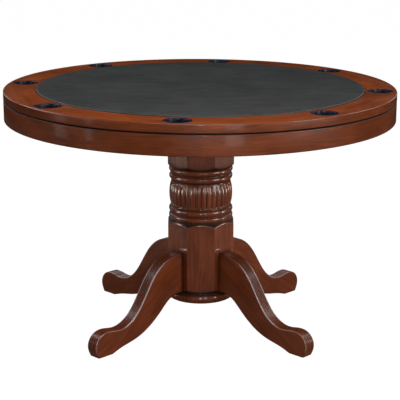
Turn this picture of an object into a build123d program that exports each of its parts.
from build123d import *
from math import cos, radians, sin
import os

os.makedirs("parts", exist_ok=True)

# Round gaming table, in millimetres. The origin is on the floor under the column, +Z is up,
# -Y is the front, and an azimuth is counted from +X towards +Y.

# ---- Heights -------------------------------------------------------------------------------
TABLE_HEIGHT = 775.0
TOP_THICKNESS = 27.0          # the whole lift-off top, as its edge shows
BACKING_THICKNESS = 9.0
PAD_GAP = 2.0                 # shadow gap between the top and the apron
APRON_HEIGHT = 61.0
RAIL_DEPTH = 45.0
RAIL_END_DEPTH = 26.0
PLATE_THICKNESS = 18.0
COLUMN_BOTTOM = 95.0
FOOT_CLEARANCE = 1.5          # the foot stands this far off the floor, on its leveller

TOP_UNDERSIDE = TABLE_HEIGHT - TOP_THICKNESS
BACKING_TOP = TOP_UNDERSIDE + BACKING_THICKNESS
BASE_TOP = TOP_UNDERSIDE - PAD_GAP
APRON_BOTTOM = BASE_TOP - APRON_HEIGHT
PLATE_TOP = BASE_TOP - RAIL_DEPTH
COLUMN_TOP = PLATE_TOP - PLATE_THICKNESS

# ---- Top -----------------------------------------------------------------------------------
TOP_RADIUS = 609.6            # a 48 inch table
BAND_THICKNESS = 4.0
BAND_ROUND = 3.0
RING_OUTER = TOP_RADIUS - BAND_THICKNESS
RING_INNER = 510.5
COVER_RADIUS = 509.0
VINYL = 1.0
FOAM_THICKNESS = 4.0
BOARD_THICKNESS = 12.0
HEM_WIDTH = 35.0
SOFT_GAP = 0.3                # room between the cover's skirt and what it wraps
COVER_ROUND = 3.0

SEATS = 8
SEAT_ANGLE = 360 / SEATS
CUP_AZIMUTH = -7.0            # of the first cup and of the ring's first joint
CUP_CIRCLE = 558.0
CUP_RADIUS = 34.0
CUP_FLOOR_RADIUS = 31.0
CUP_FLANGE_RADIUS = 40.6
CUP_FLANGE = 2.0
CUP_WALL = 2.0
CUP_DEPTH = 52.0
CUP_HOLE = 35.3
CUP_REBATE_RADIUS = 41.2

BLOCK_RADIUS = 594.0
BLOCK_WIDTH = 24.0
BLOCK_HALF_ANGLE = 3.0
BLOCK_HEIGHT = 18.0
BLOCK_COUNT = 4

# ---- Apron and its frame --------------------------------------------------------------------
APRON_RADIUS = TOP_RADIUS
APRON_THICKNESS = 12.6
APRON_ROUND = 2.5
APRON_INNER = APRON_RADIUS - APRON_THICKNESS
QUARTERS = 4
DIAGONAL = 45.0
SPLICE_WIDTH = 24.0
SPLICE_HALF_ANGLE = 4.4
SPLICE_HEIGHT = 32.0
SPLICE_BOTTOM = APRON_BOTTOM + 2.0
RAIL_WIDTH = 44.0
RAIL_LENGTH = 1192.0
RAIL_TAPER_START = 430.0      # along the rail, from the axis
RAIL_TAPER_END = 560.0
PLATE_APOTHEM = 150.0
PAD_RADIUS = 9.0
PAD_CIRCLES = (180.0, 500.0)

# ---- Column --------------------------------------------------------------------------------
STAVES = 8
COLUMN_APOTHEM = 104.0
BORE_APOTHEM = 73.0
BLANK_RADIUS = 116.0          # past the octagon's corners
OCTAGON_TURN = 22.5           # puts a flat on each axis
FOOT_BEAD_HEIGHT = 31.0       # below this the foot is round
BARREL_MIDDLE = 438.0
BARREL_HALF = 37.5
BARREL_NECK = 95.0
BARREL_RADIUS = 100.6
REEDS = 36
REED_DEPTH = 2.4
REED_SLOT = 3.0
TOP_BLOCK_HEIGHT = 63.0

# ---- Legs ----------------------------------------------------------------------------------
LEGS = 4
FIRST_LEG = -135.0
LEG_THICKNESS = 40.0
LEG_GROOVES = 5
GROOVE_PITCH = 7.0
GROOVE_WIDTH = 2.4
GROOVE_DEPTH = 1.6
GROOVE_START = 0.13           # as a share of the upper edge's length, from the column
GROOVE_END = 0.83
LEG_BOLT_HEIGHTS = (168.0, 228.0)
BOLT_RADIUS = 4.0
BOLT_IN_LEG = 60.0
BOLT_TAIL = 16.0
WASHER_RADIUS = 11.0
WASHER_THICKNESS = 2.0
NUT_ACROSS_FLATS = 13.0
NUT_HEIGHT = 6.5

# ---- Levellers -----------------------------------------------------------------------------
LEVELLER_CIRCLE = 425.0
GLIDE_RADIUS = 14.0
GLIDE_HEIGHT = 5.0
GLIDE_POCKET = 15.0
GLIDE_ROUND = 1.0
INSERT_RADIUS = 6.0
INSERT_LENGTH = 20.0
INSERT_BORE = 4.0
STEM_RADIUS = 3.95
STEM_LENGTH = 25.0

# ---- Wood screws ---------------------------------------------------------------------------
SCREW_RADIUS = 2.2
SCREW_HEAD_RADIUS = 4.5
SCREW_HEAD_HEIGHT = 2.4
BOARD_SCREWS = 12
BOARD_SCREW_CIRCLE = 440.0
BOARD_SCREW_LENGTH = 18.0
PLATE_SCREW_CIRCLE = 132.0
PLATE_SCREW_LENGTH = 45.0
PLATE_SCREW_SPACING = 24.0
SPLICE_SCREW_LENGTH = 32.0
SPLICE_SCREW_ANGLES = (-3.0, -1.2, 1.2, 3.0)
LAG_RADIUS = 4.0
LAG_HEAD_ACROSS_FLATS = 13.0
LAG_HEAD_HEIGHT = 5.5
LAG_LENGTH = 70.0
LAG_CIRCLE = 48.0


def meridian(azimuth):
    """The upright sketch plane at an azimuth: x is the distance from the axis, y is the height."""
    across = (sin(radians(azimuth)), -cos(radians(azimuth)), 0)
    return Plane(origin=(0, 0, 0), x_dir=(cos(radians(azimuth)), sin(radians(azimuth)), 0), z_dir=across)


def sector(body, start, end):
    """The part of a round body between two azimuths at most a quarter turn apart."""
    reach = 2 * TOP_RADIUS
    turns = (radians(start), radians((start + end) / 2), radians(end))
    corners = [(reach * cos(turn), reach * sin(turn)) for turn in turns]
    with BuildPart() as piece:
        add(body)
        with BuildSketch():
            with BuildLine():
                Polyline((0, 0), *corners, close=True)
            make_face()
        extrude(amount=TABLE_HEIGHT, mode=Mode.INTERSECT)
    return piece


def facing(azimuth, radius, height):
    """A plane on the inside of the table whose normal points outwards along an azimuth."""
    outward = (cos(radians(azimuth)), sin(radians(azimuth)), 0)
    return Plane(
        origin=(radius * outward[0], radius * outward[1], height),
        x_dir=(0, 0, 1),
        z_dir=outward,
    )


def screw_solids(planes, length):
    """Pan-head wood screws: each plane lies under a head and its normal runs along the shank."""
    with BuildPart() as screws:
        for plane in planes:
            with BuildSketch(plane):
                Circle(SCREW_RADIUS)
            extrude(amount=length)
            with BuildSketch(plane):
                Circle(SCREW_HEAD_RADIUS)
            extrude(amount=-SCREW_HEAD_HEIGHT)
    return screws


def screw_holes(planes, length):
    """The round holes that a row of screws cuts in the pieces that it goes through."""
    with BuildPart() as holes:
        for plane in planes:
            with BuildSketch(plane):
                Circle(SCREW_RADIUS)
            extrude(amount=length)
    return holes


# ---- Ring of eight segments round the playing surface ---------------------------------------
with BuildPart() as ring:
    with BuildSketch(Plane.XY.offset(BACKING_TOP)):
        Circle(RING_OUTER)
        Circle(RING_INNER, mode=Mode.SUBTRACT)
        with PolarLocations(CUP_CIRCLE, SEATS, start_angle=CUP_AZIMUTH):
            Circle(CUP_HOLE, mode=Mode.SUBTRACT)
    extrude(amount=TABLE_HEIGHT - BACKING_TOP)
    with BuildSketch(Plane.XY.offset(TABLE_HEIGHT - CUP_FLANGE)):
        with PolarLocations(CUP_CIRCLE, SEATS, start_angle=CUP_AZIMUTH):
            Circle(CUP_REBATE_RADIUS)
    extrude(amount=CUP_FLANGE, mode=Mode.SUBTRACT)

for index in range(SEATS):
    joint = CUP_AZIMUTH + index * SEAT_ANGLE
    segment = sector(ring.part, joint, joint + SEAT_ANGLE)
    segment.part.label = f"ring_segment_{index + 1}"
    export_step(segment.part, f"parts/ring_segment_{index + 1}.step")

# ---- Backing panel, edge band and playing surface -------------------------------------------
board_screw_planes = [
    Plane(
        origin=(
            BOARD_SCREW_CIRCLE * cos(radians(index * 360 / BOARD_SCREWS)),
            BOARD_SCREW_CIRCLE * sin(radians(index * 360 / BOARD_SCREWS)),
            TOP_UNDERSIDE,
        ),
        z_dir=(0, 0, 1),
    )
    for index in range(BOARD_SCREWS)
]
board_screw_holes = screw_holes(board_screw_planes, BOARD_SCREW_LENGTH)

with BuildPart() as backing_panel:
    with BuildSketch(Plane.XY.offset(TOP_UNDERSIDE)):
        Circle(RING_OUTER)
        with PolarLocations(CUP_CIRCLE, SEATS, start_angle=CUP_AZIMUTH):
            Circle(CUP_HOLE, mode=Mode.SUBTRACT)
    extrude(amount=BACKING_THICKNESS)
    add(board_screw_holes.part, mode=Mode.SUBTRACT)
backing_panel.part.label = "backing_panel"
export_step(backing_panel.part, "parts/backing_panel.step")

with BuildPart() as rim_band:
    with BuildSketch(Plane.XY.offset(TOP_UNDERSIDE)):
        Circle(TOP_RADIUS)
        Circle(RING_OUTER, mode=Mode.SUBTRACT)
    extrude(amount=TOP_THICKNESS)
    outer_edges = rim_band.edges().filter_by(GeomType.CIRCLE).filter_by(
        lambda edge: edge.radius > RING_OUTER + 1
    )
    fillet(outer_edges, BAND_ROUND)
rim_band.part.label = "rim_band"
export_step(rim_band.part, "parts/rim_band.step")

board_bottom = BACKING_TOP + VINYL
foam_bottom = board_bottom + BOARD_THICKNESS
wrapped_radius = COVER_RADIUS - VINYL - SOFT_GAP

with BuildPart() as playing_board:
    with BuildSketch(Plane.XY.offset(board_bottom)):
        Circle(wrapped_radius)
    extrude(amount=BOARD_THICKNESS)
    add(board_screw_holes.part, mode=Mode.SUBTRACT)
playing_board.part.label = "playing_board"
export_step(playing_board.part, "parts/playing_board.step")

with BuildPart() as foam_pad:
    with BuildSketch(Plane.XY.offset(foam_bottom)):
        Circle(wrapped_radius)
    extrude(amount=FOAM_THICKNESS)
    chamfer(foam_pad.edges().group_by(Axis.Z)[-1], COVER_ROUND)
foam_pad.part.label = "foam_pad"
export_step(foam_pad.part, "parts/foam_pad.step")

# The cover goes over the foam, down the board's edge and turns under it in a hem.
with BuildPart() as vinyl_cover:
    with BuildSketch(Plane.XZ):
        with BuildLine():
            cover_top = Line((0, TABLE_HEIGHT), (COVER_RADIUS - COVER_ROUND, TABLE_HEIGHT))
            shoulder = RadiusArc(
                cover_top @ 1, (COVER_RADIUS, TABLE_HEIGHT - COVER_ROUND), COVER_ROUND
            )
            Polyline(
                shoulder @ 1,
                (COVER_RADIUS, BACKING_TOP),
                (COVER_RADIUS - HEM_WIDTH, BACKING_TOP),
                (COVER_RADIUS - HEM_WIDTH, BACKING_TOP + VINYL),
                (COVER_RADIUS - VINYL, BACKING_TOP + VINYL),
                (COVER_RADIUS - VINYL, TABLE_HEIGHT - COVER_ROUND),
                (COVER_RADIUS - COVER_ROUND, TABLE_HEIGHT - VINYL),
                (0, TABLE_HEIGHT - VINYL),
                cover_top @ 0,
            )
        make_face()
    revolve(axis=Axis.Z)
vinyl_cover.part.label = "vinyl_cover"
export_step(vinyl_cover.part, "parts/vinyl_cover.step")

board_screws = screw_solids(board_screw_planes, BOARD_SCREW_LENGTH)
board_screws.part.label = "board_screws"
export_step(board_screws.part, "parts/board_screws.step")

# ---- Blocks under the top that keep it centred in the apron ----------------------------------
with BuildPart() as block_ring:
    with BuildSketch(Plane.XY.offset(TOP_UNDERSIDE - BLOCK_HEIGHT)):
        Circle(BLOCK_RADIUS)
        Circle(BLOCK_RADIUS - BLOCK_WIDTH, mode=Mode.SUBTRACT)
    extrude(amount=BLOCK_HEIGHT)

with BuildPart() as locating_blocks:
    for index in range(BLOCK_COUNT):
        between_cups = CUP_AZIMUTH + SEAT_ANGLE / 2 + index * 360 / BLOCK_COUNT
        block = sector(block_ring.part, between_cups - BLOCK_HALF_ANGLE, between_cups + BLOCK_HALF_ANGLE)
        add(block.part)
locating_blocks.part.label = "locating_blocks"
export_step(locating_blocks.part, "parts/locating_blocks.step")

# ---- Drop-in cups --------------------------------------------------------------------------
cup_bottom = TABLE_HEIGHT - CUP_DEPTH
cup_shelf = TABLE_HEIGHT - CUP_FLANGE

for index in range(SEATS):
    cup_plane = meridian(CUP_AZIMUTH + index * SEAT_ANGLE)
    cup_foot = cup_plane.from_local_coords((CUP_CIRCLE, 0, 0))
    cup_axis = Axis((cup_foot.X, cup_foot.Y, 0), (0, 0, 1))
    with BuildPart() as cup:
        with BuildSketch(cup_plane):
            with BuildLine():
                Polyline(
                    (CUP_CIRCLE, cup_bottom),
                    (CUP_CIRCLE + CUP_FLOOR_RADIUS, cup_bottom),
                    (CUP_CIRCLE + CUP_RADIUS, cup_shelf),
                    (CUP_CIRCLE + CUP_FLANGE_RADIUS, cup_shelf),
                    (CUP_CIRCLE + CUP_FLANGE_RADIUS, TABLE_HEIGHT),
                    (CUP_CIRCLE + CUP_RADIUS - CUP_WALL, TABLE_HEIGHT),
                    (CUP_CIRCLE + CUP_FLOOR_RADIUS - CUP_WALL, cup_bottom + CUP_WALL),
                    (CUP_CIRCLE, cup_bottom + CUP_WALL),
                    close=True,
                )
            make_face()
        revolve(axis=cup_axis)
    cup.part.label = f"cup_{index + 1}"
    export_step(cup.part, f"parts/cup_{index + 1}.step")

# ---- Bent apron in four quarters, joined on the diagonals ------------------------------------
splice_screw_planes = [
    facing(DIAGONAL + index * 90 + angle, APRON_INNER - SPLICE_WIDTH, SPLICE_BOTTOM + SPLICE_HEIGHT / 2)
    for index in range(QUARTERS)
    for angle in SPLICE_SCREW_ANGLES
]
splice_screw_holes = screw_holes(splice_screw_planes, SPLICE_SCREW_LENGTH)

with BuildPart() as apron:
    with BuildSketch(Plane.XY.offset(APRON_BOTTOM)):
        Circle(APRON_RADIUS)
        Circle(APRON_INNER, mode=Mode.SUBTRACT)
    extrude(amount=APRON_HEIGHT)
    outer_edges = apron.edges().filter_by(GeomType.CIRCLE).filter_by(
        lambda edge: edge.radius > APRON_INNER + 1
    )
    fillet(outer_edges, APRON_ROUND)
    add(splice_screw_holes.part, mode=Mode.SUBTRACT)

for index in range(QUARTERS):
    start = DIAGONAL + index * 90
    quarter = sector(apron.part, start, start + 90)
    quarter.part.label = f"apron_segment_{index + 1}"
    export_step(quarter.part, f"parts/apron_segment_{index + 1}.step")

with BuildPart() as splice_ring:
    with BuildSketch(Plane.XY.offset(SPLICE_BOTTOM)):
        Circle(APRON_INNER)
        Circle(APRON_INNER - SPLICE_WIDTH, mode=Mode.SUBTRACT)
    extrude(amount=SPLICE_HEIGHT)
    add(splice_screw_holes.part, mode=Mode.SUBTRACT)

for index in range(QUARTERS):
    joint = DIAGONAL + index * 90
    splice = sector(splice_ring.part, joint - SPLICE_HALF_ANGLE, joint + SPLICE_HALF_ANGLE)
    splice.part.label = f"splice_block_{index + 1}"
    export_step(splice.part, f"parts/splice_block_{index + 1}.step")

splice_screws = screw_solids(splice_screw_planes, SPLICE_SCREW_LENGTH)
splice_screws.part.label = "splice_screws"
export_step(splice_screws.part, "parts/splice_screws.step")

# ---- Two half-lapped rails on the diagonals --------------------------------------------------
plate_screw_planes = []
for index in range(LEGS):
    arm = FIRST_LEG + index * 90
    for side in (-PLATE_SCREW_SPACING / 2, PLATE_SCREW_SPACING / 2):
        place = meridian(arm).from_local_coords((PLATE_SCREW_CIRCLE, 0, side))
        plate_screw_planes.append(Plane(origin=(place.X, place.Y, COLUMN_TOP), z_dir=(0, 0, 1)))

plate_screw_holes = screw_holes(plate_screw_planes, PLATE_SCREW_LENGTH)

lap_height = BASE_TOP - RAIL_DEPTH / 2

for index, (lap_low, lap_high) in enumerate(((lap_height, BASE_TOP), (PLATE_TOP, lap_height))):
    with BuildPart() as support_rail:
        with BuildSketch(meridian(DIAGONAL + index * 90)):
            with BuildLine():
                Polyline(
                    (-RAIL_LENGTH / 2, BASE_TOP),
                    (RAIL_LENGTH / 2, BASE_TOP),
                    (RAIL_LENGTH / 2, BASE_TOP - RAIL_END_DEPTH),
                    (RAIL_TAPER_END, BASE_TOP - RAIL_END_DEPTH),
                    (RAIL_TAPER_START, PLATE_TOP),
                    (-RAIL_TAPER_START, PLATE_TOP),
                    (-RAIL_TAPER_END, BASE_TOP - RAIL_END_DEPTH),
                    (-RAIL_LENGTH / 2, BASE_TOP - RAIL_END_DEPTH),
                    close=True,
                )
            make_face()
        extrude(amount=RAIL_WIDTH / 2, both=True)
        with BuildSketch(meridian(DIAGONAL + index * 90)):
            with Locations((0, (lap_low + lap_high) / 2)):
                Rectangle(RAIL_WIDTH, lap_high - lap_low)
        extrude(amount=RAIL_WIDTH / 2, both=True, mode=Mode.SUBTRACT)
        add(plate_screw_holes.part, mode=Mode.SUBTRACT)
    support_rail.part.label = f"support_rail_{index + 1}"
    export_step(support_rail.part, f"parts/support_rail_{index + 1}.step")

with BuildPart() as rest_pads:
    with BuildSketch(Plane.XY.offset(BASE_TOP)):
        for circle in PAD_CIRCLES:
            with PolarLocations(circle, LEGS, start_angle=FIRST_LEG):
                Circle(PAD_RADIUS)
    extrude(amount=PAD_GAP)
rest_pads.part.label = "rest_pads"
export_step(rest_pads.part, "parts/rest_pads.step")

# ---- Mounting plate and the bolts that pull it down on the column -----------------------------
with BuildPart() as mounting_plate:
    with BuildSketch(Plane.XY.offset(COLUMN_TOP)):
        RegularPolygon(PLATE_APOTHEM, STAVES, major_radius=False, rotation=OCTAGON_TURN)
        with PolarLocations(LAG_CIRCLE, 4):
            Circle(LAG_RADIUS, mode=Mode.SUBTRACT)
    extrude(amount=PLATE_THICKNESS)
    add(plate_screw_holes.part, mode=Mode.SUBTRACT)
mounting_plate.part.label = "mounting_plate"
export_step(mounting_plate.part, "parts/mounting_plate.step")

plate_screws = screw_solids(plate_screw_planes, PLATE_SCREW_LENGTH)
plate_screws.part.label = "plate_screws"
export_step(plate_screws.part, "parts/plate_screws.step")

with BuildPart() as column_top_block:
    with BuildSketch(Plane.XY.offset(COLUMN_TOP - TOP_BLOCK_HEIGHT)):
        RegularPolygon(BORE_APOTHEM, STAVES, major_radius=False, rotation=OCTAGON_TURN)
    extrude(amount=TOP_BLOCK_HEIGHT)
    with BuildSketch(Plane.XY.offset(COLUMN_TOP)):
        with PolarLocations(LAG_CIRCLE, 4):
            Circle(LAG_RADIUS)
    extrude(amount=PLATE_THICKNESS - LAG_LENGTH, mode=Mode.SUBTRACT)
column_top_block.part.label = "column_top_block"
export_step(column_top_block.part, "parts/column_top_block.step")

with BuildPart() as column_bolts:
    with BuildSketch(Plane.XY.offset(PLATE_TOP)):
        with PolarLocations(LAG_CIRCLE, 4):
            Circle(LAG_RADIUS)
    extrude(amount=-LAG_LENGTH)
    with BuildSketch(Plane.XY.offset(PLATE_TOP)):
        with PolarLocations(LAG_CIRCLE, 4):
            RegularPolygon(LAG_HEAD_ACROSS_FLATS / 2, 6, major_radius=False)
    extrude(amount=LAG_HEAD_HEIGHT)
column_bolts.part.label = "column_bolts"
export_step(column_bolts.part, "parts/column_bolts.step")

# ---- Column: an octagonal coopered blank with a turned middle and foot -------------------------
with BuildPart() as reed_slots:
    for index in range(REEDS):
        with BuildSketch(meridian(index * 360 / REEDS)):
            with BuildLine():
                slot_floor = ThreePointArc(
                    (BARREL_NECK, BARREL_MIDDLE - BARREL_HALF + 2),
                    (BARREL_RADIUS - REED_DEPTH, BARREL_MIDDLE),
                    (BARREL_NECK, BARREL_MIDDLE + BARREL_HALF - 2),
                )
                ThreePointArc(slot_floor @ 1, (BARREL_RADIUS + 2, BARREL_MIDDLE), slot_floor @ 0)
            make_face()
        extrude(amount=REED_SLOT / 2, both=True)

with BuildPart() as leg_bolt_holes:
    for index in range(LEGS):
        for height in LEG_BOLT_HEIGHTS:
            with BuildSketch(facing(FIRST_LEG + index * 90, 0, height)):
                Circle(BOLT_RADIUS)
            extrude(amount=COLUMN_APOTHEM + BOLT_IN_LEG)

with BuildPart() as blank:
    with BuildSketch(Plane.XY.offset(COLUMN_BOTTOM)):
        Circle(BLANK_RADIUS)
    extrude(amount=FOOT_BEAD_HEIGHT)
    with BuildSketch(Plane.XY.offset(COLUMN_BOTTOM + FOOT_BEAD_HEIGHT)):
        RegularPolygon(COLUMN_APOTHEM, STAVES, major_radius=False, rotation=OCTAGON_TURN)
    extrude(amount=COLUMN_TOP - COLUMN_BOTTOM - FOOT_BEAD_HEIGHT)
    with BuildSketch(Plane.XY.offset(COLUMN_BOTTOM)):
        RegularPolygon(BORE_APOTHEM, STAVES, major_radius=False, rotation=OCTAGON_TURN)
    extrude(amount=COLUMN_TOP - COLUMN_BOTTOM, mode=Mode.SUBTRACT)

with BuildPart() as column:
    with BuildSketch(Plane.XZ):
        with BuildLine():
            upper_block = Line((BLANK_RADIUS, COLUMN_TOP), (BLANK_RADIUS, 541.0))
            upper_shoulder = ThreePointArc(upper_block @ 1, (105.0, 531.0), (98.5, 524.0))
            bead_1 = ThreePointArc(upper_shoulder @ 1, (101.4, 517.5), (96.6, 508.0))
            groove_1 = ThreePointArc(bead_1 @ 1, (95.8, 505.2), (96.6, 502.5))
            bead_2 = ThreePointArc(groove_1 @ 1, (100.6, 494.5), (94.5, 484.0))
            neck = ThreePointArc(
                bead_2 @ 1, (93.4, 479.5), (BARREL_NECK, BARREL_MIDDLE + BARREL_HALF)
            )
            barrel = ThreePointArc(
                neck @ 1, (BARREL_RADIUS, BARREL_MIDDLE), (BARREL_NECK, BARREL_MIDDLE - BARREL_HALF)
            )
            quirk = Line(barrel @ 1, (96.3, 396.8))
            bead_3 = ThreePointArc(quirk @ 1, (101.5, 387.0), (97.6, 378.0))
            groove_2 = ThreePointArc(bead_3 @ 1, (97.0, 375.8), (97.8, 373.6))
            bead_4 = ThreePointArc(groove_2 @ 1, (101.7, 366.2), (98.8, 359.6))
            fillet_step = Line(bead_4 @ 1, (100.4, 358.0))
            lower_shoulder = ThreePointArc(fillet_step @ 1, (105.3, 350.5), (BLANK_RADIUS, 342.0))
            lower_block = Line(lower_shoulder @ 1, (BLANK_RADIUS, 138.0))
            foot_shoulder = ThreePointArc(lower_block @ 1, (105.5, 132.0), (102.0, 127.5))
            foot_groove = ThreePointArc(foot_shoulder @ 1, (102.2, 125.2), (104.5, 124.0))
            foot_bead = ThreePointArc(foot_groove @ 1, (112.0, 111.0), (103.0, COLUMN_BOTTOM))
            Polyline(foot_bead @ 1, (0, COLUMN_BOTTOM), (0, COLUMN_TOP), upper_block @ 0)
        make_face()
    revolve(axis=Axis.Z)
    add(blank.part, mode=Mode.INTERSECT)
    add(reed_slots.part, mode=Mode.SUBTRACT)
    add(leg_bolt_holes.part, mode=Mode.SUBTRACT)

for index in range(STAVES):
    middle = index * 360 / STAVES
    stave = sector(column.part, middle - OCTAGON_TURN, middle + OCTAGON_TURN)
    stave.part.label = f"column_stave_{index + 1}"
    export_step(stave.part, f"parts/column_stave_{index + 1}.step")

# ---- Legs: a sawn cyma outline with reeds along the top ---------------------------------------
with BuildSketch(Plane.XY) as leg_outline:
    with BuildLine():
        upper_edge = Spline(
            (COLUMN_APOTHEM, 260.0),
            (152.0, 254.5),
            (203.0, 228.0),
            (265.5, 147.0),
            (321.0, 86.0),
            (367.0, 71.5),
            (417.0, 77.5),
            (450.5, 67.0),
            (466.5, 36.0),
            (455.0, FOOT_CLEARANCE),
            tangents=((1, 0), (-0.6, -1)),
        )
        sole = Line(upper_edge @ 1, (398.0, FOOT_CLEARANCE))
        lower_edge = Spline(
            sole @ 1,
            (366.0, 11.0),
            (298.0, 26.0),
            (226.0, 62.5),
            (190.0, 92.0),
            (152.0, 121.0),
            (118.0, 129.5),
            tangents=((-1, 0.3), (-1, 0.05)),
        )
        Polyline(lower_edge @ 1, (COLUMN_APOTHEM, 129.5), upper_edge @ 0)
    make_face()

# The reeds' slots follow the upper edge, from clear of the column to the front of the toe.
with BuildSketch(Plane.XY) as groove_band:
    with BuildLine():
        add(upper_edge.trim(GROOVE_START, GROOVE_END))
    trace(line_width=2 * GROOVE_DEPTH)

for index in range(LEGS):
    azimuth = FIRST_LEG + index * 90
    leg_plane = meridian(azimuth)
    foot = leg_plane.from_local_coords((LEVELLER_CIRCLE, 0, 0))
    with BuildPart() as leg:
        with BuildSketch(leg_plane.offset(-LEG_THICKNESS / 2)):
            add(leg_outline.sketch)
        extrude(amount=LEG_THICKNESS)
        for groove in range(LEG_GROOVES):
            aside = (groove - (LEG_GROOVES - 1) / 2) * GROOVE_PITCH
            with BuildSketch(leg_plane.offset(aside - GROOVE_WIDTH / 2)):
                add(groove_band.sketch)
            extrude(amount=GROOVE_WIDTH, mode=Mode.SUBTRACT)
        add(leg_bolt_holes.part, mode=Mode.SUBTRACT)
        with BuildSketch(Plane(origin=(foot.X, foot.Y, 0))):
            Circle(GLIDE_POCKET)
        extrude(amount=GLIDE_HEIGHT, mode=Mode.SUBTRACT)
        with BuildSketch(Plane(origin=(foot.X, foot.Y, 0))):
            Circle(INSERT_RADIUS)
        extrude(amount=GLIDE_HEIGHT + STEM_LENGTH + 2, mode=Mode.SUBTRACT)
    leg.part.label = f"leg_{index + 1}"
    export_step(leg.part, f"parts/leg_{index + 1}.step")

# ---- Bolts, washers and nuts that hold the legs from inside the column ------------------------
leg_bolt_places = [(FIRST_LEG + index * 90, height) for index in range(LEGS) for height in LEG_BOLT_HEIGHTS]

with BuildPart() as leg_bolts:
    for azimuth, height in leg_bolt_places:
        with BuildSketch(facing(azimuth, BORE_APOTHEM - BOLT_TAIL, height)):
            Circle(BOLT_RADIUS)
        extrude(amount=COLUMN_APOTHEM + BOLT_IN_LEG - BORE_APOTHEM + BOLT_TAIL)
leg_bolts.part.label = "leg_bolts"
export_step(leg_bolts.part, "parts/leg_bolts.step")

with BuildPart() as leg_washers:
    for azimuth, height in leg_bolt_places:
        with BuildSketch(facing(azimuth, BORE_APOTHEM, height)):
            Circle(WASHER_RADIUS)
            Circle(BOLT_RADIUS, mode=Mode.SUBTRACT)
        extrude(amount=-WASHER_THICKNESS)
leg_washers.part.label = "leg_washers"
export_step(leg_washers.part, "parts/leg_washers.step")

with BuildPart() as leg_nuts:
    for azimuth, height in leg_bolt_places:
        with BuildSketch(facing(azimuth, BORE_APOTHEM - WASHER_THICKNESS, height)):
            RegularPolygon(NUT_ACROSS_FLATS / 2, 6, major_radius=False)
            Circle(BOLT_RADIUS, mode=Mode.SUBTRACT)
        extrude(amount=-NUT_HEIGHT)
leg_nuts.part.label = "leg_nuts"
export_step(leg_nuts.part, "parts/leg_nuts.step")

# ---- Levellers that screw up into inserts in the feet ------------------------------------------
with BuildPart() as leveller_inserts:
    with BuildSketch(Plane.XY.offset(GLIDE_HEIGHT)):
        with PolarLocations(LEVELLER_CIRCLE, LEGS, start_angle=FIRST_LEG):
            Circle(INSERT_RADIUS)
            Circle(INSERT_BORE, mode=Mode.SUBTRACT)
    extrude(amount=INSERT_LENGTH)
leveller_inserts.part.label = "leveller_inserts"
export_step(leveller_inserts.part, "parts/leveller_inserts.step")

for index in range(LEGS):
    foot = meridian(FIRST_LEG + index * 90).from_local_coords((LEVELLER_CIRCLE, 0, 0))
    with BuildPart() as leveller:
        with BuildSketch(Plane(origin=(foot.X, foot.Y, 0))):
            Circle(GLIDE_RADIUS)
        extrude(amount=GLIDE_HEIGHT)
        fillet(leveller.edges().group_by(Axis.Z)[0], GLIDE_ROUND)
        with BuildSketch(Plane(origin=(foot.X, foot.Y, GLIDE_HEIGHT))):
            Circle(STEM_RADIUS)
        extrude(amount=STEM_LENGTH)
    leveller.part.label = f"leveller_{index + 1}"
    export_step(leveller.part, f"parts/leveller_{index + 1}.step")
